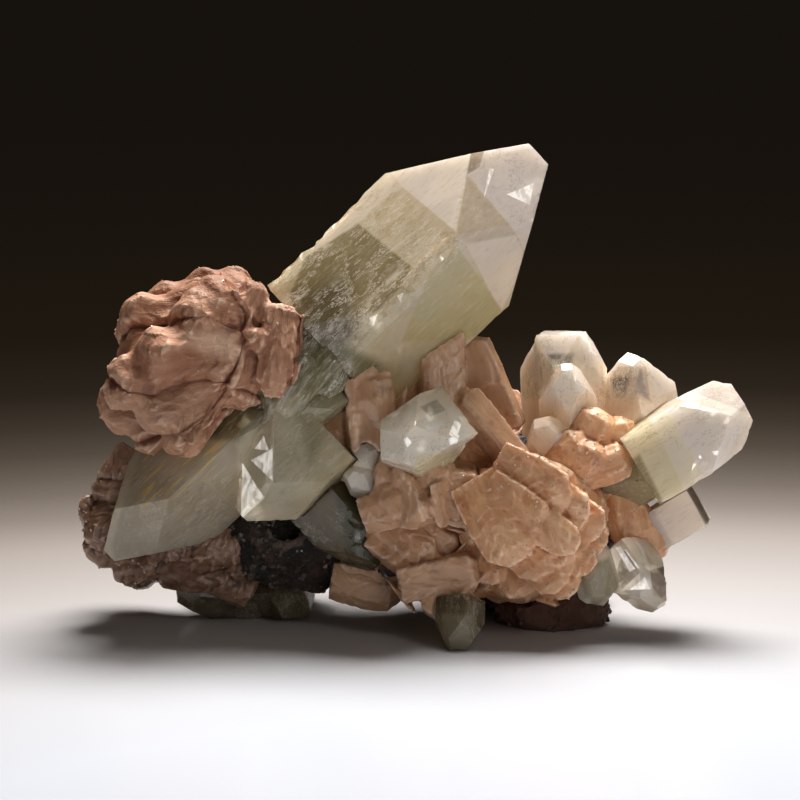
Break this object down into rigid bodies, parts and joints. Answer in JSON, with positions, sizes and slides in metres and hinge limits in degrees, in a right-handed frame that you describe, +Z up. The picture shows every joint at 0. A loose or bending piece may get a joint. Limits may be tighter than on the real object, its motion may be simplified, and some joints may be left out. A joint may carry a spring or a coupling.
{
  "type": "apophyllite cluster",
  "caption": "Mineral specimen: a large pale green apophyllite crystal leaning over smaller ones and peach stilbite sheaves on dark basalt.",
  "frame": {"origin": "middle of the outline's bounding box, at the surface that the specimen rests on", "axes": "+Z up, +X along the cluster's width towards its right end, -Y towards the side that shows best"},
  "size_m": [0.1222, 0.0556, 0.0874],
  "materials": {
    "apophyllite": "glassy, pale green, clear to milky",
    "stilbite": "pearly, fibrous",
    "basalt": "rough"
  },
  "bodies": {
    "root": {"main_apophyllite": "apophyllite", "center_apophyllite": "apophyllite", "right_apophyllite": "apophyllite", "right_block_apophyllite": "apophyllite", "upper_right_apophyllite": "apophyllite", "lower_right_apophyllite": "apophyllite", "bottom_apophyllite": "apophyllite", "lower_left_apophyllite": "apophyllite", "inner_apophyllite": "apophyllite", "small_apophyllite": "apophyllite", "back_apophyllite": "apophyllite", "left_stilbite": "stilbite", "upper_center_stilbite": "stilbite", "neck_stilbite": "stilbite", "center_stilbite": "stilbite", "right_stilbite": "stilbite", "right_stilbite_lumps": "stilbite", "lower_center_stilbite": "stilbite", "left_center_stilbite": "stilbite", "lower_left_stilbite": "stilbite", "back_stilbite": "stilbite", "neck_back_stilbite": "stilbite", "basalt_matrix": "basalt"}
  },
  "joints": []
}
